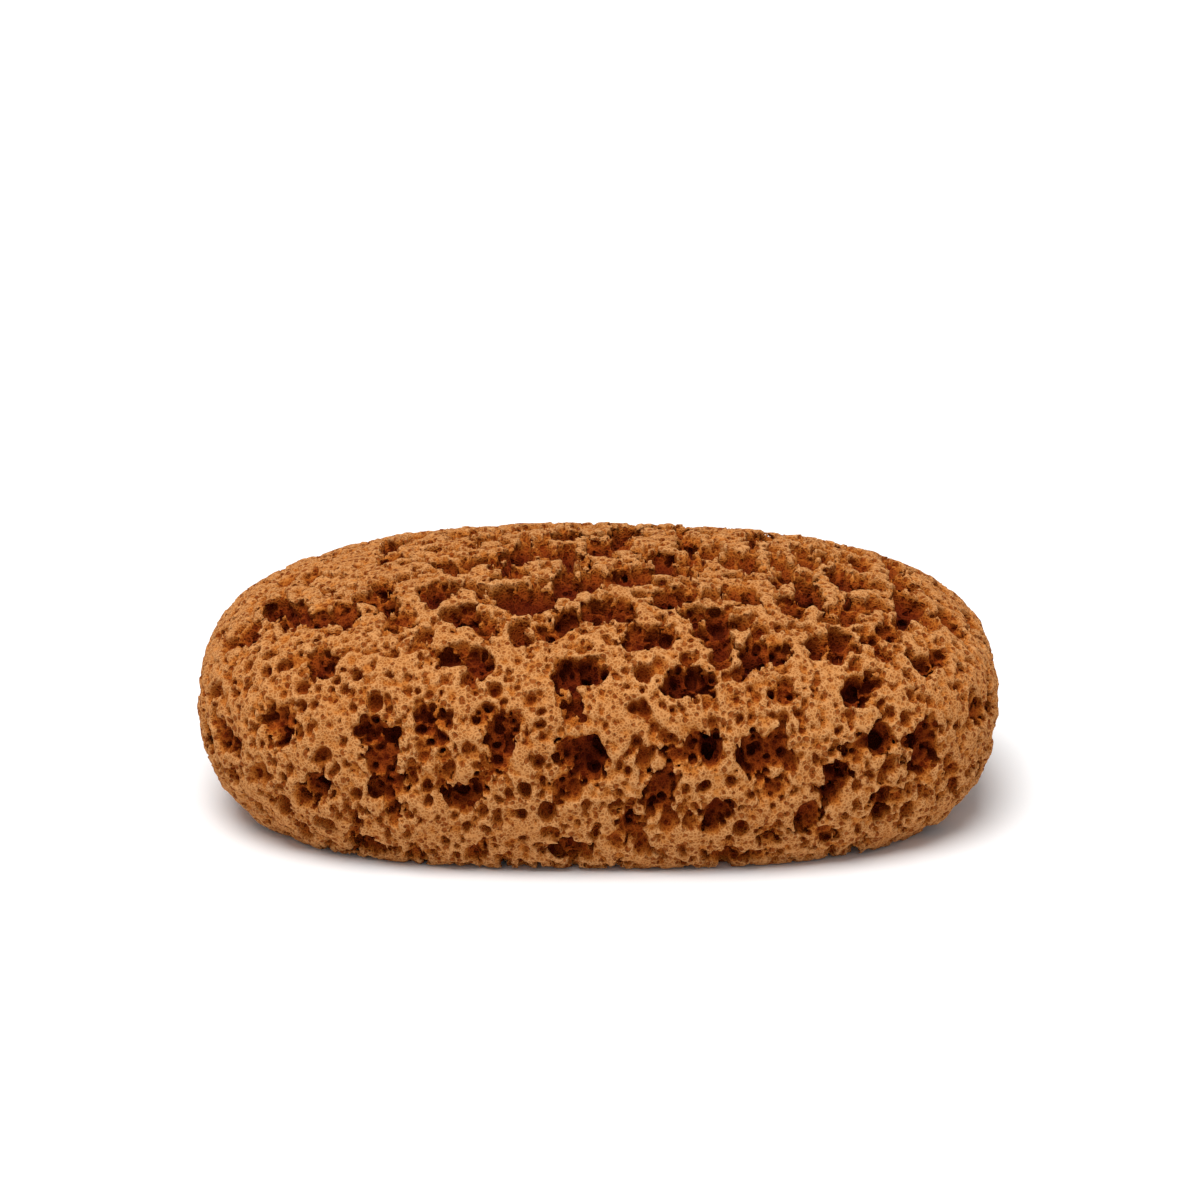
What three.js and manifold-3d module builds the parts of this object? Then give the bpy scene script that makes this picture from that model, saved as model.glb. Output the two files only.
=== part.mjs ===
// A bath sponge: one soft, open-celled lump, oval from above, domed on top, flat underneath,
// with steep sides and deep, uneven pits all over.
// Millimetres, +Z up, long side along X, origin in the middle of the flat underside.
import * as THREE from "three";
import { mergeVertices } from "three/addons/utils/BufferGeometryUtils.js";
import Module from "manifold-3d";

// Driving dimensions of the body
const LENGTH = 200;
const DEPTH = 124;
// The widest level's height above the underside, and the rise from there to the top
const WAIST = 29.5;
const CROWN = 34;
// How far below its widest level the body would reach if its underside weren't flat
const LOWER_REACH = 46;
// How square the outline is from above, over the crown and around the lower edge: 2 is an ellipse
const PLAN_SQUARENESS = 2.8;
const CROWN_SQUARENESS = 2.4;
const LOWER_SQUARENESS = 2.6;
// Each edge of the first twenty-sided solid is cut into this many more pieces
const BODY_FACETS = 5;
// Slow swellings of the skin, as a share of the distance from the middle,
// and how closely they follow each other along, across and up the body: more is closer
const SWELLING = 0.004;
const SWELLING_ALONG = 7;
const SWELLING_ACROSS = 6;
const SWELLING_UP = 2.5;

// Sides and rings of the ball that tears a pit, and of the one for a pit under SMALL_PIT_WIDTH wide,
// which leaves a plain funnel
const PIT_SIDES = 6;
const PIT_RINGS = 3;
const SMALL_PIT_SIDES = 5;
const SMALL_PIT_RINGS = 2;
const SMALL_PIT_WIDTH = 5;
// How unevenly a pit is torn, as a share of its size
const PIT_UNEVENNESS = 0.2;
// How much wider and longer a pit's mouth is than its row says, because the foam tore back at the skin
const PIT_FLARE = 3.4;

// Pits in the top: x, y, width, length, depth, and the turn in degrees where they lean
const TOP_PITS = [
  [-80, -10, 6.5, 14, 8, 12], [-74.5, -19.5, 5, 16, 7], [-67.5, -25, 5, 10, 8, 5],
  [-61.5, -25.5, 6, 11, 7, 10], [-55.5, -21, 3.6, 6, 6, 15], [-51.5, -25, 4.2, 8, 8],
  [-53.3, -14, 4.5, 8, 6, 5], [-78.5, 7, 4, 8, 5], [-71.8, 4, 3.6, 9, 5, 5],
  [-52.2, 5.3, 3.5, 6, 5], [-86, -19, 5, 12, 6, 10], [-90.8, -18, 4, 8, 5, 15],
  [-74, -39, 6.5, 3.6, 5, -35], [-67, -42, 5, 7, 7], [-49.5, -35, 4.5, 7.5, 6],
  [-46, -33.5, 3.6, 7, 5], [-39.5, -22, 6.5, 13, 8, 12], [-38.3, -5, 3.5, 7, 5],
  [-31.8, -3.5, 4, 10, 7], [-26.3, -3, 5, 7, 5], [-19.5, -1, 7, 17, 9], [-21, -13, 3.8, 8, 8, 10],
  [-13, 3, 4.6, 12, 7, 8], [-8.5, 0, 5, 11, 7], [0, 4, 5.5, 16, 9], [5.2, 7, 5, 12, 6],
  [-7.5, -22, 6, 14, 8, 5], [-2.3, -19, 4.2, 11, 6], [-20.5, -28.5, 7, 13, 9, 12],
  [-13.8, -29, 6, 12, 9], [-31.5, -35, 6, 7.5, 7, 10], [-27.2, -39.5, 4.2, 7, 5],
  [-36, -47, 5.5, 4, 5], [-28.3, -49.5, 5, 7, 7, 10], [-12, -41.5, 7, 4.5, 5, -35],
  [-7.5, -38, 5.5, 7, 6], [-0.5, -33.5, 6, 9, 8, 15], [5.5, -34, 6, 10, 6, 10],
  [-7.3, -53, 6, 6.5, 8], [-2, -52.8, 5, 6, 7], [15.8, -4, 6, 11, 7, 5], [16.5, -12, 5.5, 8, 9, 10],
  [21.7, -12.5, 3.8, 8, 7], [22.5, 10, 4.6, 15, 7], [23.4, -2.5, 3.5, 8, 5],
  [32.3, -4.5, 4.6, 12, 7], [36.6, -3.5, 4.2, 14, 9], [6.3, -16.5, 5.5, 12, 8, 5],
  [10.7, -17, 4, 11, 6], [17, -28, 5.8, 11, 7], [22, -25, 4, 9, 5], [33.3, -23, 4.2, 9, 6],
  [36.6, -25, 3.8, 8, 8], [46, -3.5, 3.8, 10, 6], [46.2, -11, 3.5, 5, 6], [51.8, 4, 3.8, 15, 8],
  [47, -27.5, 4.6, 12, 8, 8], [28.2, -36.5, 5, 12, 8], [24.3, -40.5, 4, 6, 7],
  [37.3, -46.5, 5, 8, 9], [42.8, -45, 4.6, 8, 8], [9.3, -43.5, 5, 6.5, 6, -15],
  [14.8, -42.5, 6, 5, 6], [18.5, -54.5, 5, 7.5, 9], [23.6, -54, 5, 5.5, 7], [66.3, 9, 4, 14, 8, -5],
  [76, 4.5, 4.6, 14, 8], [60.3, -6.5, 5.6, 16, 8], [64.7, -7, 3.8, 11, 8],
  [87.3, -11.5, 4, 11, 7, 5], [76.5, -12, 7, 14, 8], [51.5, -19.5, 5, 12, 8],
  [64.5, -21.5, 3.8, 7, 6], [60.3, -27, 4.6, 9, 7], [70.5, -30.5, 4.2, 9, 8],
  [66.3, -35, 3.6, 6, 6], [78.3, -37, 5, 5.5, 8], [82.8, -32, 4.6, 8, 8], [58, -39, 6, 5, 5],
  [53, -42, 4.6, 7, 5], [61, -50, 5, 7.5, 9], [65.2, -47.6, 4, 6, 7],
];

// Pits in the front wall: x, z, width, height, depth, and the turn in degrees where they lean
const FRONT_PITS = [
  [-78.7, 35.5, 3.5, 9.5, 6], [-75, 37.5, 4.8, 8, 5], [-75.6, 32.5, 3.8, 3.8, 8],
  [-54, 37.5, 6, 6, 5], [-50, 35.5, 5, 4.5, 7], [-51.5, 30, 5.5, 9, 6], [-51.8, 22.5, 5.5, 4.8, 7],
  [-48.4, 24.3, 3.6, 4.2, 6], [-49, 17.6, 3.5, 3.6, 6], [-71.3, 17.5, 5.6, 4.4, 7, 30],
  [-67.3, 21.5, 5, 5.5, 6], [-92, 28, 7, 6, 5], [-88.6, 26.5, 4, 7, 6], [-55, 4.8, 8, 5.5, 7],
  [-40.6, 40, 3.5, 9.5, 6], [-36.8, 41, 4.4, 7.5, 5], [-37.6, 36, 3.8, 3.8, 8],
  [-27, 42, 4, 4.5, 5], [-21.3, 40.8, 5.5, 4, 5], [-23.3, 36.5, 5.6, 7, 7], [-23, 31.3, 3.5, 6, 5],
  [-7, 33.5, 6, 7.5, 5], [-2.2, 32, 5.6, 11.5, 8], [-32.5, 21.5, 5, 5, 7, 20],
  [-28.5, 24, 4.6, 5.2, 6], [-8.5, 24.5, 4.2, 8, 5], [-6.2, 43.4, 3.5, 5.8, 5], [-7, 6.5, 7, 6, 6],
  [-29.5, 4.4, 4.5, 5, 5], [-44, 2.6, 7, 4, 5], [15, 24.4, 5.6, 8.5, 6, -20], [12.7, 20, 4, 3.6, 9],
  [17.6, 31.8, 3.6, 3.8, 5], [21, 33, 4.2, 4.2, 6], [26.5, 33.5, 5.6, 6.5, 8],
  [37, 32, 6.4, 12, 7, -5], [42.2, 33.5, 5, 9, 6], [41.5, 23.3, 4.4, 4, 5], [43.8, 46.3, 4.2, 4, 6],
  [7, 14.5, 4.6, 8, 6, -30], [4.5, 9, 3.6, 5, 5], [28, 17.5, 5.4, 5, 6], [26.3, 13.8, 3.6, 3.8, 8],
  [49.6, 15, 5, 9, 6], [41, 9.3, 5.4, 4.4, 5], [30, 3, 9, 4.4, 7], [37, 3.4, 4.4, 5, 6],
  [57.3, 24.9, 5.4, 8.5, 6, -20], [55.2, 20.4, 3.8, 3.6, 9], [59.6, 31.4, 3.6, 3.8, 5],
  [63, 32.7, 4.2, 4, 5], [67.4, 33.3, 5.4, 6, 8], [78.6, 32, 6.6, 5.6, 7],
  [78.6, 26.5, 7.6, 6.6, 7], [93, 32.8, 6, 5, 5], [86.6, 21.3, 4, 3.6, 6],
  [86.6, 16.3, 3.6, 4.8, 6], [68.5, 17.8, 5, 4.6, 6], [68, 13.5, 3.6, 5, 8],
  [72.2, 16.8, 3.8, 3.6, 5], [54.2, 9.3, 3.8, 3.6, 5],
];

// Pits in the right-hand end: y, z, width, height, depth. The left-hand end has twins of them.
const END_PITS = [
  [-16, 24, 5, 8, 6], [-4, 37, 6, 5, 6], [6, 20, 5, 6, 7], [15, 33, 6, 7, 6],
  [-8, 12, 6, 5, 5], [18, 14, 5, 5, 5], [-26, 33, 5, 5, 5], [-27, 15, 4.6, 6, 5],
  [3, 44, 7, 5, 6], [27, 24, 5, 7, 6], [-5, 27, 4.6, 6, 5], [8, 6, 6, 4.6, 5],
];

// Twins: the back has the front's larger pits turned half round, each one a little different.
// A pit of the top has a twin where it lies at least this far in front of the middle.
const TWIN_LEAST_WIDTH = 4.2;
const TWIN_LEAST_FORWARD = 14;
const TWIN_SHIFT = 2.5;
const TWIN_STRETCH = 0.2;

// Pits in the flat underside: rows around a sound place in the middle. Every other row has one pit less
// than UNDER_COLUMNS, so its pits lie between those of its neighbours.
const UNDER_ROWS = 3;
const UNDER_COLUMNS = 7;
const UNDER_SPACING_X = 26;
const UNDER_SPACING_Y = 28;
const UNDER_SCATTER = 5;
const UNDER_WIDTH = 6;
const UNDER_STRETCH = 0.2;
const UNDER_DEPTH = 5;
const SOUND_PLACE = 9;

const MIDDLE = new THREE.Vector3(0, 0, WAIST);
// Longer than the body is in any direction
const SPAN = LENGTH + DEPTH;

const wasm = await Module();
wasm.setup();

// A repeatable stream of chance numbers from 0 to 1
function chanceStream(seed) {
  const STEP = 1664525;
  const SHIFT = 1013904223;
  const ROUND = 4294967296;
  let state = seed;
  return () => {
    state = (state * STEP + SHIFT) % ROUND;
    return state / ROUND;
  };
}

const CHANCE_SEED = 7;
const chance = chanceStream(CHANCE_SEED);

// A chance number from -size to size
function scatter(size) {
  return (2 * chance() - 1) * size;
}

// How far out a point lies: under 1 inside the body, 1 on its skin, over 1 outside
function reach(point) {
  const above = point.z > WAIST;
  const power = above ? CROWN_SQUARENESS : LOWER_SQUARENESS;
  const rise = Math.abs(point.z - WAIST) / (above ? CROWN : LOWER_REACH);
  const plan =
    Math.abs((2 * point.x) / LENGTH) ** PLAN_SQUARENESS +
    Math.abs((2 * point.y) / DEPTH) ** PLAN_SQUARENESS;
  return (plan ** (power / PLAN_SQUARENESS) + rise ** power) ** (1 / power);
}

// The point of the skin met on the way out from a point inside, by halving
function skinPoint(inside, direction) {
  const HALVINGS = 30;
  let near = 0;
  let far = SPAN;
  for (let i = 0; i < HALVINGS; i += 1) {
    const middle = (near + far) / 2;
    const tried = inside.clone().addScaledVector(direction, middle);
    if (reach(tried) < 1) near = middle;
    else far = middle;
  }
  return inside.clone().addScaledVector(direction, near);
}

// The outward direction of the skin at a point, from how reach changes around it
function outward(point) {
  const STEP = 0.1;
  const slope = (x, y, z) =>
    reach(point.clone().add(new THREE.Vector3(x, y, z))) -
    reach(point.clone().sub(new THREE.Vector3(x, y, z)));
  return new THREE.Vector3(slope(STEP, 0, 0), slope(0, STEP, 0), slope(0, 0, STEP)).normalize();
}

// A closed three.js geometry as a solid that can be joined and cut
function solidFrom(geometry) {
  geometry.deleteAttribute("normal");
  geometry.deleteAttribute("uv");
  const merged = mergeVertices(geometry);
  const mesh = new wasm.Mesh({
    numProp: 3,
    vertProperties: merged.attributes.position.array,
    triVerts: new Uint32Array(merged.index.array),
  });
  return new wasm.Manifold(mesh);
}

// The body without its pits: a ball drawn out to the sponge's outline and cut off flat underneath
function bodySolid() {
  const geometry = new THREE.IcosahedronGeometry(1, BODY_FACETS);
  const place = geometry.attributes.position;
  const point = new THREE.Vector3();
  for (let i = 0; i < place.count; i += 1) {
    point.fromBufferAttribute(place, i).normalize();
    const lean = SWELLING_UP * point.z;
    const swelling =
      Math.sin(SWELLING_ALONG * point.x + lean) * Math.sin(SWELLING_ACROSS * point.y - lean);
    point.multiply(new THREE.Vector3(LENGTH / 2, DEPTH / 2, point.z > 0 ? CROWN : LOWER_REACH));
    point.multiplyScalar((1 + SWELLING * swelling) / reach(point.clone().add(MIDDLE)));
    point.add(MIDDLE);
    place.setXYZ(i, point.x, point.y, point.z);
  }
  const below = new THREE.BoxGeometry(SPAN, SPAN, SPAN).translate(0, 0, -SPAN / 2);
  return solidFrom(geometry).subtract(solidFrom(below));
}

// The tool that tears one pit: an uneven ball stretched to the pit's size, with its middle on the skin
function pitTool(place, facing, upright, [width, length, depth, turn = 0]) {
  const small = Math.min(width, length) < SMALL_PIT_WIDTH;
  const sides = small ? SMALL_PIT_SIDES : PIT_SIDES;
  const rings = small ? SMALL_PIT_RINGS : PIT_RINGS;
  const geometry = new THREE.SphereGeometry(1, sides, rings).rotateX(Math.PI / 2);
  geometry.rotateZ(chance() * Math.PI);
  geometry.deleteAttribute("normal");
  geometry.deleteAttribute("uv");
  const ball = mergeVertices(geometry);
  const points = ball.attributes.position;
  for (let i = 0; i < points.count; i += 1) {
    const size = 1 + scatter(PIT_UNEVENNESS);
    points.setXYZ(i, points.getX(i) * size, points.getY(i) * size, points.getZ(i) * size);
  }
  const along = upright.clone().addScaledVector(facing, -upright.dot(facing)).normalize();
  const across = along.clone().cross(facing);
  ball.scale((width + PIT_FLARE) / 2, (length + PIT_FLARE) / 2, depth);
  ball.rotateZ(THREE.MathUtils.degToRad(turn));
  ball.applyMatrix4(new THREE.Matrix4().makeBasis(across, along, facing).setPosition(place));
  return ball;
}

const UP = new THREE.Vector3(0, 0, 1);
const BACK = new THREE.Vector3(0, 1, 0);
const RIGHT = new THREE.Vector3(1, 0, 0);

// One pit in the top, from its row
function topPit([x, y, ...size]) {
  const place = skinPoint(new THREE.Vector3(x, y, WAIST), UP);
  return pitTool(place, outward(place), BACK, size);
}

// One pit in the front wall, from its row
function frontPit([x, z, ...size]) {
  const place = skinPoint(new THREE.Vector3(x, 0, z), BACK.clone().negate());
  return pitTool(place, outward(place), UP, size);
}

// One pit in the right-hand end, from its row
function endPit([y, z, ...size]) {
  const place = skinPoint(new THREE.Vector3(0, y, z), RIGHT);
  return pitTool(place, outward(place), UP, size);
}

// A row of another pit like this one, a little shifted and stretched
function likeness([x, other, width, length, depth, turn = 0]) {
  const stretch = 1 + scatter(TWIN_STRETCH);
  return [x + scatter(TWIN_SHIFT), other, width * stretch, length / stretch, depth, -turn];
}

// Is this row wide enough to have a twin at the back?
function isLarge([, , width, length]) {
  return Math.min(width, length) >= TWIN_LEAST_WIDTH;
}

function frontTools() {
  return [...TOP_PITS.map(topPit), ...FRONT_PITS.map(frontPit), ...END_PITS.map(endPit)];
}

function backTools() {
  const forward = TOP_PITS.filter(([, y]) => y < -TWIN_LEAST_FORWARD);
  const tools = [
    ...forward.filter(isLarge).map((row) => topPit(likeness(row))),
    ...FRONT_PITS.filter(isLarge).map((row) => frontPit(likeness(row))),
    ...END_PITS.map((row) => endPit(likeness(row))),
  ];
  return tools.map((tool) => tool.rotateZ(Math.PI));
}

function undersideTools() {
  const tools = [];
  const down = UP.clone().negate();
  for (let row = 0; row < UNDER_ROWS; row += 1) {
    const columns = UNDER_COLUMNS - (row % 2);
    for (let column = 0; column < columns; column += 1) {
      const x = (column - (columns - 1) / 2) * UNDER_SPACING_X + scatter(UNDER_SCATTER);
      const y = (row - (UNDER_ROWS - 1) / 2) * UNDER_SPACING_Y + scatter(UNDER_SCATTER);
      const place = new THREE.Vector3(x, y, 0);
      const width = UNDER_WIDTH * (1 + scatter(UNDER_STRETCH));
      const length = UNDER_WIDTH * (1 + scatter(UNDER_STRETCH));
      const clear = place.length() > SOUND_PLACE + UNDER_WIDTH;
      if (clear) tools.push(pitTool(place, down, BACK, [width, length, UNDER_DEPTH]));
    }
  }
  return tools;
}

// The largest piece of a solid: crumbs that the pits cut free are left off
function largestPiece(solid) {
  return solid.decompose().reduce((a, b) => (b.volume() > a.volume() ? b : a));
}

function spongeGeometry() {
  const tools = [...frontTools(), ...backTools(), ...undersideTools()].map(solidFrom);
  const pits = tools.reduce((all, tool) => all.add(tool));
  const mesh = largestPiece(bodySolid().subtract(pits)).getMesh();
  const geometry = new THREE.BufferGeometry();
  geometry.setAttribute("position", new THREE.BufferAttribute(mesh.vertProperties, mesh.numProp));
  geometry.setIndex(new THREE.BufferAttribute(mesh.triVerts, 1));
  geometry.computeVertexNormals();
  return geometry;
}

function foamMaterial() {
  return new THREE.MeshStandardMaterial({ color: 0xc0803f, roughness: 0.95, metalness: 0 });
}

const sponge = new THREE.Mesh(spongeGeometry(), foamMaterial());
sponge.name = "sponge";

const part = new THREE.Group();
part.add(sponge);

export default part;
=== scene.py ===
import math
import time

import bmesh
import bpy
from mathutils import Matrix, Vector


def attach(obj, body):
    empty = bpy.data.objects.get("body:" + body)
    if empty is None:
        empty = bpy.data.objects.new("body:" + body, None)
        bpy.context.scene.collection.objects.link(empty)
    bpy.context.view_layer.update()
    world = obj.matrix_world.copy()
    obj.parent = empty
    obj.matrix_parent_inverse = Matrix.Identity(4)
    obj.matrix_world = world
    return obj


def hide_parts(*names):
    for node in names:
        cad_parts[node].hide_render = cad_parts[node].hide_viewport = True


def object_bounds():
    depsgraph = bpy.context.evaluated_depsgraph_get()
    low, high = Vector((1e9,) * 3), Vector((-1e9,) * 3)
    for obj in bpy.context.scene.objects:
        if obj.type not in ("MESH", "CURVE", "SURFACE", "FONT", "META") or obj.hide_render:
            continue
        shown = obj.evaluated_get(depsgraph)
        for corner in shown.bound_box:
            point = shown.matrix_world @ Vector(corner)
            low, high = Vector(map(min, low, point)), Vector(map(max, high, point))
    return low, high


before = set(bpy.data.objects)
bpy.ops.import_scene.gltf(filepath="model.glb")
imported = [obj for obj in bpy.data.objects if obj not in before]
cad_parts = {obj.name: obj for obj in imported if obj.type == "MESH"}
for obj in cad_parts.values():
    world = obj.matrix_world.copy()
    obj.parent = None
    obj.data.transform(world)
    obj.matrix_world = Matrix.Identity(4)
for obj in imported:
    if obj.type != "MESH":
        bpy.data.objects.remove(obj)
cad_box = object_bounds()
started = time.time()
MM = 0.001
print("solids:", sorted(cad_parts), "box:", [round(v, 4) for corner in cad_box for v in corner])

# %% [markdown]
# The camera comes first, because everything is judged through it. The sponge was photographed with a
# long lens from a little above, so the far edge looks hardly smaller than the near one. It lies low in the
# frame. The camera could be turned up for that, but then upright lines would lean, so the picture is shifted
# instead, and the camera keeps looking at the sponge's middle.

# %% The camera
CAMERA_DISTANCE = 0.9
CAMERA_TILT = math.radians(20)
LENS = 107.6
SHIFT_RIGHT = 0.0011
SHIFT_UP = 0.0587


def make_camera(target):
    camera = bpy.data.objects.new("camera", bpy.data.cameras.new("camera"))
    bpy.context.scene.collection.objects.link(camera)
    away = Vector((0, -math.cos(CAMERA_TILT), math.sin(CAMERA_TILT)))
    camera.location = target + CAMERA_DISTANCE * away
    camera.rotation_euler = away.to_track_quat("Z", "Y").to_euler()
    camera.data.lens = LENS
    camera.data.shift_x = SHIFT_RIGHT
    camera.data.shift_y = SHIFT_UP
    bpy.context.scene.camera = camera
    return camera


middle = (cad_box[0] + cad_box[1]) / 2
camera = make_camera(Vector((0, 0, middle.z)))
print("camera at", [round(v, 3) for v in camera.location])

# %% [markdown]
# The solid in the frame holds the body and its larger pits, in flat facets, and foam has none. Rounding the
# solid by subdivision would pull its long triangles out of shape, so a copy of it is rebuilt on an even grid
# and smoothed a little. That copy is only a guide: the next cells measure how far every place lies under its
# skin, and it is thrown away once the sponge is made.

# %% The guide: a smooth copy of the solid
GUIDE_GRID = 0.9 * MM
GUIDE_SMOOTHING = 2
SAME_PLACE = 0.001 * MM


def finished(thing):
    """Gives an object the mesh that its modifiers make, and takes the modifiers off."""
    graph = bpy.context.evaluated_depsgraph_get()
    mesh = bpy.data.meshes.new_from_object(thing.evaluated_get(graph), depsgraph=graph)
    thing.modifiers.clear()
    thing.data = mesh
    return thing


def make_guide(solid):
    mesh = solid.data.copy()
    shape = bmesh.new()
    shape.from_mesh(mesh)
    bmesh.ops.remove_doubles(shape, verts=shape.verts, dist=SAME_PLACE)
    shape.to_mesh(mesh)
    shape.free()
    guide = bpy.data.objects.new("guide", mesh)
    bpy.context.scene.collection.objects.link(guide)
    grid = guide.modifiers.new("grid", "REMESH")
    grid.mode = "VOXEL"
    grid.voxel_size = GUIDE_GRID
    smooth = guide.modifiers.new("smooth", "SMOOTH")
    smooth.iterations = GUIDE_SMOOTHING
    finished(guide)
    outward = guide.data.attributes.new("outward", "FLOAT_VECTOR", "POINT")
    for vertex, value in zip(guide.data.vertices, outward.data):
        value.vector = vertex.normal
    return guide


guide = make_guide(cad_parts["sponge"])
print("guide:", len(guide.data.vertices), "points", round(time.time() - started, 1), "s")

# %% [markdown]
# A sponge has thousands of pores. They could be cut one by one, but that would take very long, or pressed
# into the skin by displacement, but that leaves no overhangs and no thin walls. So a formula says for every
# place how deep it lies in foam or hollow, and a skin is drawn between the two. The formula is a tree of
# nodes. The helper below adds nodes, so that the formula reads like a sum. What goes into a node is given in
# order: another node's output is wired in, and anything else is set as the value.

# %% A helper for trees of nodes
NOISE_DETAIL = 2.0


class Nodes:
    """Adds nodes to one tree and wires them up."""

    def __init__(self, tree):
        self.tree = tree

    def add(self, kind, *wires, **settings):
        node = self.tree.nodes.new(kind)
        for name, value in settings.items():
            setattr(node, name, value)
        for socket, wire in zip([s for s in node.inputs if s.enabled], wires):
            if isinstance(wire, bpy.types.NodeSocket):
                self.tree.links.new(wire, socket)
            else:
                socket.default_value = wire
        return [s for s in node.outputs if s.enabled]

    def named(self, name, kind, *wires, **settings):
        """Adds a node and gives its output of this name."""
        return next(s for s in self.add(kind, *wires, **settings) if s.name == name)

    def maths(self, operation, *wires):
        return self.add("ShaderNodeMath", *wires, operation=operation)[0]

    def arrows(self, operation, *wires):
        return self.add("ShaderNodeVectorMath", *wires, operation=operation)[0]

    def eased(self, value, low, high):
        """0 below low, 1 above high and smooth between."""
        return self.add("ShaderNodeMapRange", value, low, high, interpolation_type="SMOOTHSTEP")[0]

    def noise(self, place, size):
        """Smooth chance at each place, changing over about this size: a number and a colour."""
        return self.add("ShaderNodeTexNoise", place, 1 / size, NOISE_DETAIL)

    def bubbles(self, place, size, **settings):
        """The distance to the nearest bubble, in sizes, and each bubble's own chance colour."""
        return self.add("ShaderNodeTexVoronoi", place, 1 / size, **settings)[:2]


field = Nodes(bpy.data.node_groups.new("foam", "GeometryNodeTree"))
add, maths, arrows, eased = field.add, field.maths, field.arrows, field.eased
print("an empty tree:", field.tree.name)

# %% [markdown]
# Measuring takes time, and only places near the skin need it: most of the box is either deep inside the
# foam or well outside it. Two squared ovals tell them apart cheaply, one that no pit reaches and one just
# outside the skin. All other places are measured as if they were at the top of the box, which is quick.

# %% Which places are near the skin
DEEPEST = Vector((-17.0, -17.0, -17.0))
PROUD = Vector((2.0, 2.0, 10.0))
INNER_SQUARENESS = 2.2
OUTER_SQUARENESS = 6.0


def inside_oval(place_mm, margin, squareness):
    """1 inside a squared oval that reaches this far past the solid's box, 0 outside."""
    half = (cad_box[1] - cad_box[0]) / (2 * MM) + margin
    away = arrows("ABSOLUTE", arrows("SUBTRACT", place_mm, middle / MM))
    shares = add("ShaderNodeSeparateXYZ", arrows("DIVIDE", away, half))
    x, y, z = [maths("POWER", share, squareness) for share in shares]
    return maths("LESS_THAN", maths("ADD", maths("ADD", x, y), z), 1.0)


position = add("GeometryNodeInputPosition")[0]
position_mm = arrows("SCALE", position, 1 / MM)
deep = inside_oval(position_mm, DEEPEST, INNER_SQUARENESS)
near = maths("SUBTRACT", inside_oval(position_mm, PROUD, OUTER_SQUARENESS), deep)
top_of_box = (middle.x, middle.y, cad_box[1].z)
measured = add("ShaderNodeMix", near, top_of_box, position, data_type="VECTOR")[0]
print("nodes for the ovals:", len(field.tree.nodes))

# %% [markdown]
# Two depths are measured. One is under the hull, the smooth outer form with no pits. The other is under the
# guide's skin, pits and all. For the second one, places are first nudged by smooth chance arrows, so that
# the pits' rims come out torn. The larger arrows are read at the nearest place of the hull, so they are the
# same all the way down a pit and leave upright ridges in its walls. Most of an arrow's lift is taken off it,
# because it would only make the plain skin lumpy, and what tears a rim goes sideways.

# %% The depth under the hull and under the torn skin
TORN = [(6.0, 1.4), (2.4, 0.9)]
FRAYED = [(1.5, 0.3)]
FLATTENED = 0.6
HALF_CHANCE = 0.5
ANY_GROUP = 0

surface = field.named("Geometry", "GeometryNodeObjectInfo", guide)
hull = add("GeometryNodeConvexHull", surface)[0]


def nearest(form, place):
    """The nearest place on a form, and how far away it is."""
    return add("GeometryNodeProximity", form, ANY_GROUP, place, ANY_GROUP, target_element="FACES")[:2]


def nudged(place, read_at_mm, nudges):
    """The place moved by chance arrows, one for each size and reach in millimetres."""
    for size, reach in nudges:
        arrow = arrows("SUBTRACT", field.noise(read_at_mm, size)[1], (HALF_CHANCE,) * 3)
        lift = arrows("PROJECT", arrow, to_hull)
        arrow = arrows("SUBTRACT", arrow, arrows("SCALE", lift, FLATTENED))
        place = arrows("ADD", place, arrows("SCALE", arrow, reach * MM / HALF_CHANCE))
    return place


def below_guide(place):
    """The depth under the guide's skin in millimetres, below 0 outside, and the skin's nearest place."""
    point, distance = nearest(surface, place)
    attribute = add("GeometryNodeInputNamedAttribute", "outward", data_type="FLOAT_VECTOR")[0]
    read = (surface, attribute, ANY_GROUP, place)
    normal = add("GeometryNodeSampleNearestSurface", *read, data_type="FLOAT_VECTOR")[0]
    outside = arrows("DOT_PRODUCT", arrows("SUBTRACT", place, point), normal)
    depth = maths("MULTIPLY", maths("SIGN", outside), maths("MULTIPLY", distance, -1 / MM))
    return depth, arrows("SCALE", point, 1 / MM)


hull_point, hull_distance = nearest(hull, measured)
hull_skin = arrows("SCALE", hull_point, 1 / MM)
hull_depth = maths("MULTIPLY", hull_distance, 1 / MM)
to_hull = arrows("SUBTRACT", hull_point, measured)
torn = nudged(nudged(measured, hull_skin, TORN), position_mm, FRAYED)
depth, skin = below_guide(torn)
print("nodes with the depths:", len(field.tree.nodes))

# %% [markdown]
# Pores are bubbles that broke through the skin. Bubbles could be spread all through the foam, but most would
# stay closed inside, where nobody sees them. So each one starts at the skin and narrows with depth. A
# Voronoi pattern says where the bubbles are, and each bubble's own chance number says how wide it is.
# Squeezing the pattern draws the pores out into ovals. The wide pores run down from the hull and scallop the
# pits' rims. They are wider still on the crown, where the real sponge is crowded with them, except towards
# its plainer left. Medium and small pores run down from the torn skin, so the pits' walls have them too.

# %% Wide, medium and small pores
def pores(place_mm, depth_mm, cell, stretch, least, most, slope):
    """How far a place lies outside the nearest pore of a layer, in millimetres."""
    distance, colour = field.bubbles(arrows("MULTIPLY", place_mm, stretch), cell)
    share = add("FunctionNodeSeparateColor", colour)[0]
    radius = maths("MULTIPLY_ADD", share, maths("SUBTRACT", most, least), least)
    across = maths("MULTIPLY", distance, cell)
    down = maths("MULTIPLY", depth_mm, slope)
    away = add("ShaderNodeCombineXYZ", across, down, 0.0)[0]
    return maths("SUBTRACT", arrows("LENGTH", away), radius)


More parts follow.
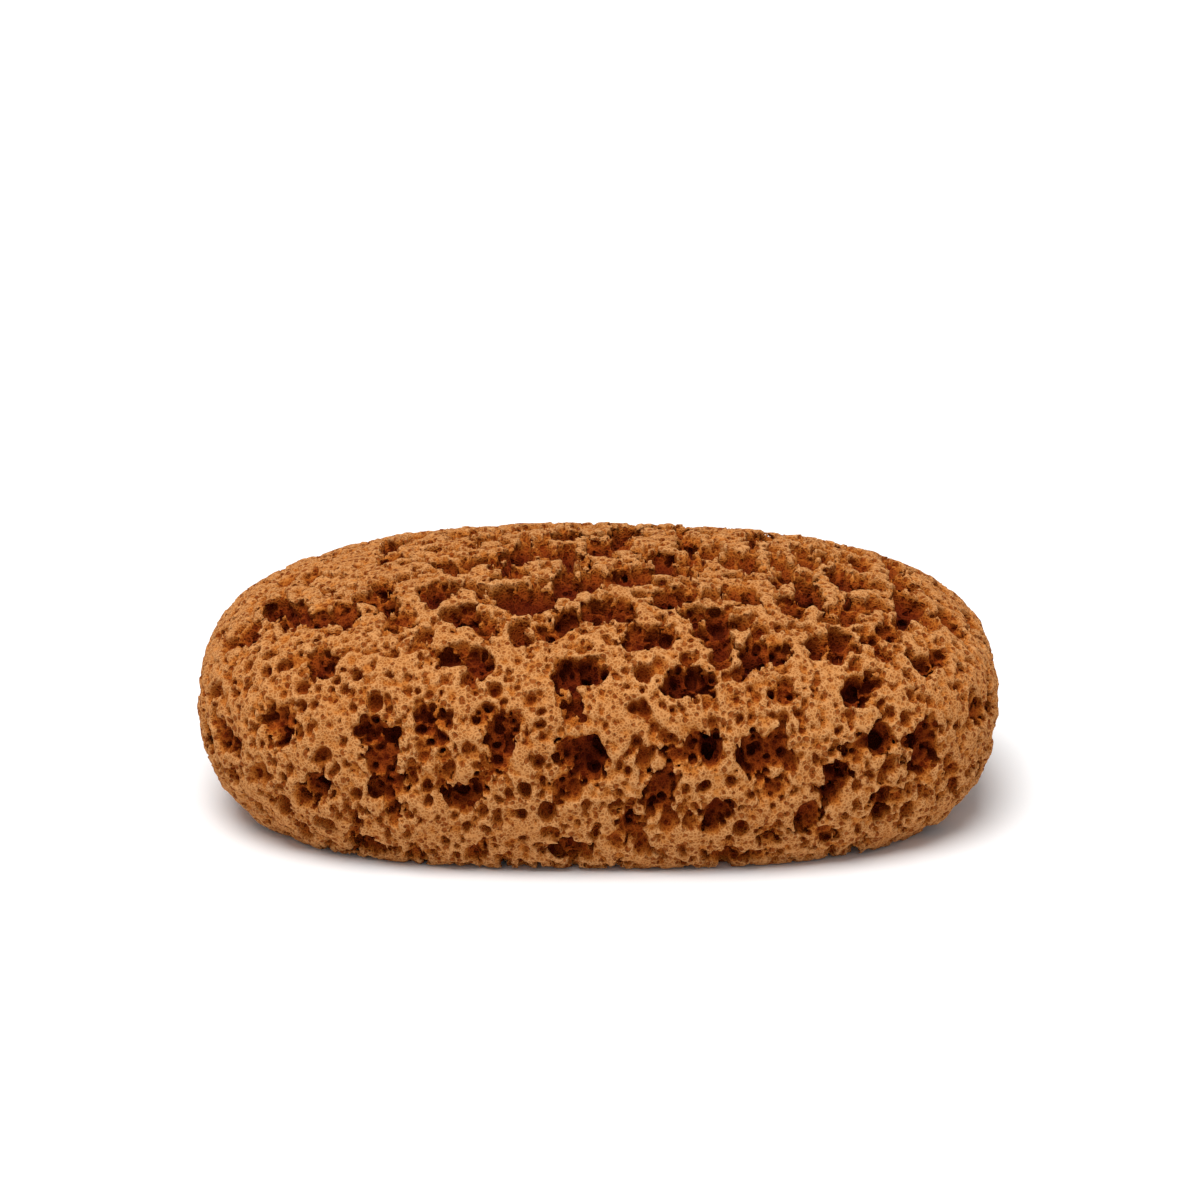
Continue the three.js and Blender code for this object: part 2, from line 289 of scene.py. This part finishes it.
WIDE = {"cell": 5.8, "stretch": (1.0, 1.0, 0.72), "least": 0.5, "slope": 0.5}
WIDE_MOST = 2.5
CROWDED_ABOVE = (46.0, 58.0)
CROWDED_RIGHT_OF = (-60.0, -25.0)
CROWDED_GROWTH = 1.5
MEDIUM = {"cell": 4.4, "stretch": (1.0, 0.9, 0.7), "least": 0.4, "most": 1.9, "slope": 0.4}
SMALL = {"cell": 2.6, "stretch": (1.0, 1.0, 0.68), "least": 0.4, "most": 1.3, "slope": 0.4}

skin_x = field.named("X", "ShaderNodeSeparateXYZ", hull_skin)
skin_z = field.named("Z", "ShaderNodeSeparateXYZ", hull_skin)
crowded = maths("MULTIPLY", eased(skin_z, *CROWDED_ABOVE), eased(skin_x, *CROWDED_RIGHT_OF))
wide_most = maths("MULTIPLY_ADD", crowded, CROWDED_GROWTH, WIDE_MOST)
layers = [
    pores(hull_skin, hull_depth, most=wide_most, **WIDE),
    pores(skin, depth, **MEDIUM),
    pores(skin, depth, **SMALL),
]
print("layers of pores:", len(layers))

# %% [markdown]
# The walls of a torn pit are fluted: where it tore, it opened the narrow tubes beside it from top to bottom.
# Ridges could be drawn on the walls by noise, but they would be rounded. Tubes leave thin, pointed ridges
# between them, so they are made as pores that run straight down from the hull and hardly narrow. Each is
# kept only near the torn skin, deeper inside a pit than on the plain skin, where it leaves hardly a dimple.

# %% Flutes in the pits' walls
FLUTES = {"cell": 2.6, "stretch": (1.0, 1.0, 0.9), "least": 0.7, "most": 1.6, "slope": 0.15}
FLUTE_LEAST_DEPTH = 0.1
FLUTE_GROWTH = 0.7
FLUTE_MOST_DEPTH = 2.3

grown = maths("MULTIPLY_ADD", hull_depth, FLUTE_GROWTH, FLUTE_LEAST_DEPTH)
flute_depth = maths("MINIMUM", grown, FLUTE_MOST_DEPTH)
tubes = pores(hull_skin, hull_depth, **FLUTES)
layers.append(maths("MAXIMUM", tubes, maths("SUBTRACT", depth, flute_depth)))
print("layers with the flutes:", len(layers))

# %% [markdown]
# Foam is where a place lies under the torn skin and outside every pore, so the smallest of these numbers
# decides. A plain minimum would leave knife edges, so the numbers are joined with a little rounding. The
# real skin isn't smooth between its pores either, so a fine ripple is added to the depth. A flat cut at the
# height of 0 leaves the underside that the sponge lies on.

# %% The whole field
ROUGH_SIZE = 1.1
ROUGH_REACH = 0.16
RIM_ROUNDING = 0.12
FAR_DEPTH = 30.0

ripple = maths("SUBTRACT", field.noise(position_mm, ROUGH_SIZE)[0], HALF_CHANCE)
foam = maths("MULTIPLY_ADD", ripple, ROUGH_REACH / HALF_CHANCE, depth)
for layer in layers:
    foam = maths("SMOOTH_MIN", foam, layer, RIM_ROUNDING)
far = maths("MULTIPLY_ADD", deep, 2 * FAR_DEPTH, -FAR_DEPTH)
foam = add("ShaderNodeMix", near, far, foam, data_type="FLOAT")[0]
height = field.named("Z", "ShaderNodeSeparateXYZ", position_mm)
foam = maths("MINIMUM", foam, height)
print("nodes in the field:", len(field.tree.nodes))

# %% [markdown]
# The field is read on a fine grid, and a skin is drawn where it passes from hollow to foam. A finer grid
# shows finer pores, but this one already gives close to a million triangles. Every place that the grid
# doesn't store counts as 0, so the field is held within a band around the skin and raised by the band's
# width, and the skin lies at that level.

# %% From the field to a mesh
GRID = 0.65 * MM
MARGIN = 2 * MM
BAND = 1.0

low = cad_box[0] - Vector((MARGIN,) * 3)
steps = [math.ceil((cad_box[1][i] + MARGIN - low[i]) / GRID) + 1 for i in range(3)]
high = low + GRID * Vector([n - 1 for n in steps])
density = maths("ADD", maths("MAXIMUM", maths("MINIMUM", foam, BAND), -BAND), BAND)
volume = add("GeometryNodeVolumeCube", density, 0.0, low, high, *steps)[0]
mesh = add("GeometryNodeVolumeToMesh", volume, BAND)[0]
print("grid of", steps, "places")

# %% [markdown]
# Where pores meet all round a bit of foam, it comes loose as a crumb, and where a pore pinches off, a closed
# bubble stays inside. A real sponge has lost the first, and nobody sees the second. They could be picked out
# by size, but here it is simpler to count the points of every separate piece of the mesh and to keep only
# the piece with the most.

# %% Crumbs and closed bubbles taken out
piece = add("GeometryNodeInputMeshIsland")[0]
points = field.named("Total", "GeometryNodeAccumulateField", 1.0, piece)
most_points = field.named("Max", "GeometryNodeAttributeStatistic", mesh, True, points)
mesh = add("GeometryNodeDeleteGeometry", mesh, maths("LESS_THAN", points, most_points))[0]
print("nodes with the sorting:", len(field.tree.nodes))

# %% [markdown]
# The sponge's colour is painted darker and redder with depth and hollowness, as painted shade, and lighter on
# rims, as a painted highlight. The finish doesn't know the hull, so two numbers are kept on the mesh for it.
# One is the depth under the hull, counted more in a torn pit than in a lone pore. The other says how hollow
# the mesh is just here: how far a place lies below the average of its neighbours, or above it on a rim.

# %% Depth and hollowness, kept for the painted shade and highlight
# A torn pit counts more towards the painted shade than a lone pore.
TORN_SHADE_WEIGHT = 0.7
BLUR_STEPS = 8

torn_away = maths("MAXIMUM", maths("SUBTRACT", hull_depth, depth), 0.0)
pit = maths("MULTIPLY_ADD", torn_away, TORN_SHADE_WEIGHT, hull_depth)
blurred = add("GeometryNodeBlurAttribute", position, BLUR_STEPS, data_type="FLOAT_VECTOR")[0]
normal = add("GeometryNodeInputNormal")[0]
hollow = maths("DIVIDE", arrows("DOT_PRODUCT", arrows("SUBTRACT", blurred, position), normal), MM)
for name, value in (("pit", pit), ("hollow", hollow)):
    mesh = add("GeometryNodeStoreNamedAttribute", mesh, True, name, value)[0]
field.tree.interface.new_socket("Mesh", in_out="OUTPUT", socket_type="NodeSocketGeometry")
add("NodeGroupOutput", mesh)
print("the tree is whole:", len(field.tree.nodes), "nodes")

# %% [markdown]
# The tree could stay on the sponge as a modifier, but then it would be worked out anew for every view. So it
# is worked out once, and what stays is a plain mesh. The sponge is soft and takes the solid's place. It is
# foam right through.

# %% The sponge
def make_sponge():
    sponge = bpy.data.objects.new("sponge_foam", bpy.data.meshes.new("sponge_foam"))
    bpy.context.scene.collection.objects.link(sponge)
    sponge.modifiers.new("foam", "NODES").node_group = field.tree
    finished(sponge)
    sponge.data.shade_smooth()
    return sponge


sponge = make_sponge()
bpy.data.objects.remove(guide)
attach(sponge, "root")
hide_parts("sponge")
triangles = sum(len(face.vertices) - 2 for face in sponge.data.polygons)
print("sponge:", triangles, "triangles", round(time.time() - started, 1), "s")

# %% [markdown]
# The sponge looks tan on its rims, orange-brown just below and dark red-brown deep down, because light that
# comes out of a pore has met its walls many times. Light in the scene does some of that by itself, but thin
# walls that glow through would take far longer to render. So that shade is painted: one ramp of colours
# darkens and reddens with the depth, to which the hollowness is added, and lightens rims as a painted
# highlight. Small pores are painted darker than their rims too, as painted shade.

# %% Painted shade by depth
# Painted shade: darker and redder deeper down; the stop above the skin is a painted highlight on rims.
PAINTED_SHADE_BY_DEPTH = [
    (-1.5, (0.51, 0.252, 0.098)),
    (0.0, (0.45, 0.190, 0.058)),
    (1.0, (0.43, 0.150, 0.029)),
    (2.2, (0.345, 0.098, 0.0118)),
    (4.0, (0.25, 0.050, 0.0050)),
    (8.0, (0.125, 0.0155, 0.0017)),
    (14.0, (0.05, 0.005, 0.0008)),
]
HOLLOW_SHADE_WEIGHT = 2.5


# Paints the shade by depth and hollowness, and the highlight on rims.
def painted_shade_by_depth(paint):
    pit = paint.named("Fac", "ShaderNodeAttribute", attribute_name="pit")
    hollow = paint.named("Fac", "ShaderNodeAttribute", attribute_name="hollow")
    depth = paint.maths("MULTIPLY_ADD", hollow, HOLLOW_SHADE_WEIGHT, pit)
    shallowest, deepest = PAINTED_SHADE_BY_DEPTH[0][0], PAINTED_SHADE_BY_DEPTH[-1][0]
    share = paint.add("ShaderNodeMapRange", depth, shallowest, deepest)[0]
    colour = paint.add("ShaderNodeValToRGB", share)[0]
    stops = colour.node.color_ramp.elements
    while len(stops) < len(PAINTED_SHADE_BY_DEPTH):
        stops.new(1.0)
    for stop, (level, tone) in zip(stops, PAINTED_SHADE_BY_DEPTH):
        stop.position = (level - shallowest) / (deepest - shallowest)
        stop.color = (*tone, 1)
    return colour


print("colours from", PAINTED_SHADE_BY_DEPTH[0][0], "to", PAINTED_SHADE_BY_DEPTH[-1][0], "mm deep")

# %% [markdown]
# Between the pores the skin is a fine net of fibres, with holes of about a millimetre and less. They are too
# fine for the mesh, so they are in the finish, as relief and as painted shade in the holes and gaps. The
# larger holes are bubbles of uneven size, and some places have none. The smallest are what lies between the
# threads of a net, and a little noise stands for single fibres. Noise bends the pattern, so that it doesn't
# look like tiles.

# %% The net of fibres
FINE_CELL = 1.5 * MM
FINE_GROWTH = 0.62
FINE_LEAST = -0.06
FINE_EDGE = (-0.12, 0.1)
NET_CELL = 0.85 * MM
NET_THREAD = (0.03, 0.28)
FIBRE = 0.3 * MM
BEND = 0.8 * MM


def net_of_fibres(paint, place):
    """Three numbers from 0 to 1: out of the fine holes, on the net's threads, and single fibres."""
    bend = paint.arrows("SCALE", paint.noise(place, FINE_CELL)[1], BEND)
    bent = paint.arrows("ADD", place, bend)
    distance, colour = paint.bubbles(bent, FINE_CELL)
    chance = paint.add("ShaderNodeSeparateColor", colour)[0]
    radius = paint.maths("MULTIPLY_ADD", chance, FINE_GROWTH, FINE_LEAST)
    outside = paint.eased(paint.maths("SUBTRACT", distance, radius), *FINE_EDGE)
    to_edge = paint.bubbles(bent, NET_CELL, feature="DISTANCE_TO_EDGE")[0]
    threads = paint.maths("SUBTRACT", 1.0, paint.eased(to_edge, *NET_THREAD))
    return outside, threads, paint.noise(place, FIBRE)[0]


print("fine holes about every", FINE_CELL / MM, "mm, in a net of", NET_CELL / MM, "mm")

# %% [markdown]
# The finish puts these together. The holes and the gaps of the net are painted darker and redder than the
# threads, as painted shade, and the threads a little lighter, as a painted highlight. Wide patches are a
# little lighter or darker by chance, as dyed foam is. Tints are multiplied in, rather than mixed, so that the
# painted depth shade always shows through. Foam has hardly any gloss.

# %% The foam's finish
# Painted shade in the fine holes and the net's gaps, and a painted highlight on the skin and threads between.
HOLE_SHADE_AND_HIGHLIGHT = ((0.55, 0.33, 0.17, 1), (1.05, 1.05, 1.05, 1))
GAP_SHADE_AND_HIGHLIGHT = ((0.72, 0.55, 0.38, 1), (1.14, 1.14, 1.14, 1))
PATCH_TINT = ((0.9, 0.84, 0.78, 1), (1.1, 1.14, 1.18, 1))
PATCH = 16 * MM
RELIEF = 0.45 * MM
RELIEF_SHARES = (0.6, 0.3, 0.25)
ROUGHNESS = 0.9
GLOSS = 0.05


def foam_finish():
    finish = bpy.data.materials.new("foam")
    finish.use_nodes = True
    paint = Nodes(finish.node_tree)
    shader = paint.tree.nodes["Principled BSDF"]
    shader.inputs["Roughness"].default_value = ROUGHNESS
    shader.inputs["Specular IOR Level"].default_value = GLOSS

    place = paint.named("Object", "ShaderNodeTexCoord")
    outside, threads, fibres = net_of_fibres(paint, place)
    patches = paint.noise(place, PATCH)[0]
    colour = painted_shade_by_depth(paint)
    # The holes and gaps get painted shade and the threads a painted highlight; the patches are random tone.
    for share, tints in ((outside, HOLE_SHADE_AND_HIGHLIGHT), (threads, GAP_SHADE_AND_HIGHLIGHT), (patches, PATCH_TINT)):
        tint = paint.add("ShaderNodeMix", share, *tints, data_type="RGBA")[0]
        settings = {"data_type": "RGBA", "blend_type": "MULTIPLY"}
        colour = paint.add("ShaderNodeMix", 1.0, colour, tint, **settings)[0]
    paint.tree.links.new(colour, shader.inputs["Base Color"])

    relief = 0.0
    for part, share in zip((outside, threads, fibres), RELIEF_SHARES):
        relief = paint.maths("MULTIPLY_ADD", part, share, relief)
    bump = paint.tree.nodes.new("ShaderNodeBump")
    bump.inputs["Distance"].default_value = RELIEF
    paint.tree.links.new(relief, bump.inputs["Height"])
    paint.tree.links.new(bump.outputs["Normal"], shader.inputs["Normal"])
    return finish


sponge.data.materials.clear()
sponge.data.materials.append(foam_finish())
print("finish:", len(sponge.data.materials[0].node_tree.nodes), "nodes")

# %% [markdown]
# The sponge lies on a plain white floor. A bent sheet of paper is what a studio uses, but a flat grid that
# runs on past the camera's view shows no edge either, and it looks the same from every side.

# %% The floor
FLOOR_REACH = 3.0
FLOOR_SHADE = 0.86
FLOOR_ROUGHNESS = 0.9


def make_floor():
    shape = bmesh.new()
    bmesh.ops.create_grid(shape, x_segments=1, y_segments=1, size=FLOOR_REACH)
    mesh = bpy.data.meshes.new("floor")
    shape.to_mesh(mesh)
    shape.free()
    floor = bpy.data.objects.new("floor", mesh)
    bpy.context.scene.collection.objects.link(floor)
    finish = bpy.data.materials.new("floor")
    finish.use_nodes = True
    shader = finish.node_tree.nodes["Principled BSDF"]
    shader.inputs["Base Color"].default_value = (FLOOR_SHADE, FLOOR_SHADE, FLOOR_SHADE, 1)
    shader.inputs["Roughness"].default_value = FLOOR_ROUGHNESS
    floor.data.materials.append(finish)


make_floor()
print("floor:", 2 * FLOOR_REACH, "m wide")

# %% [markdown]
# The light is a broad, soft one from above, a little from the left and the front, with an even white glow
# from all round. A studio has lamps in boxes, but their light falls off across the floor, so a sun as broad
# as such a box is used. It is strong enough that the floor comes out white, and broad enough that the shadow
# hugs the sponge's lower edge and fades out softly.

# %% The light
LIGHT_FROM = Vector((-0.14, -0.28, 0.93))
LIGHT_STRENGTH = 3.15
LIGHT_BREADTH = math.radians(38)
GLOW = 0.5
WHITE = (1, 1, 1, 1)


def make_light():
    light = bpy.data.lights.new("broad_light", "SUN")
    light.energy = LIGHT_STRENGTH
    light.angle = LIGHT_BREADTH
    lamp = bpy.data.objects.new("broad_light", light)
    lamp.rotation_euler = LIGHT_FROM.to_track_quat("Z", "Y").to_euler()
    bpy.context.scene.collection.objects.link(lamp)


def make_glow():
    world = bpy.data.worlds.new("glow")
    world.use_nodes = True
    background = world.node_tree.nodes["Background"]
    background.inputs["Color"].default_value = WHITE
    background.inputs["Strength"].default_value = GLOW
    bpy.context.scene.world = world


make_light()
make_glow()
bpy.context.scene.view_settings.view_transform = "Standard"
print("light from", [round(v, 2) for v in LIGHT_FROM.normalized()])
